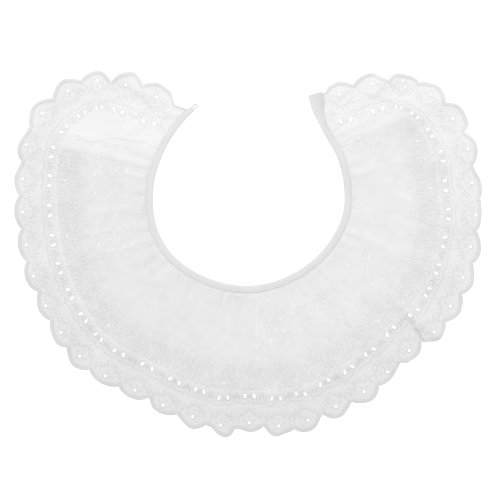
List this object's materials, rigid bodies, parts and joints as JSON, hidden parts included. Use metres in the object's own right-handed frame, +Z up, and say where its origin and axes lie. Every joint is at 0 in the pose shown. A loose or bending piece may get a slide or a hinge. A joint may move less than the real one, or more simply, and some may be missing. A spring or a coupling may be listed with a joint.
{
  "type": "lace collar",
  "caption": "Detachable lace collar laid flat: a gathered eyelet frill with a scalloped hem over a plain under layer, held by a narrow neck binding with a thread loop.",
  "frame": {"origin": "centre of the bounding box at the surface that the collar lies on", "axes": "+Z up from the surface, out of the collar's face; +X to the collar's right as it is seen from above with its back opening at the top; +Y towards the back opening"},
  "size_m": [0.3631, 0.2842, 0.0062],
  "materials": {
    "eyelet_lace": "white cotton voile with satin-stitched eyelets and scalloped edge, sheer, matte with a soft thread sheen",
    "voile": "plain white cotton voile, sheer and matte",
    "binding_cloth": "white cotton bias strip, folded and stitched, matte",
    "loop_thread": "worked white cotton thread"
  },
  "bodies": {
    "root": {"eyelet_frill": "eyelet_lace", "under_layer": "voile", "neck_binding": "binding_cloth", "button_loop": "loop_thread"}
  },
  "joints": []
}
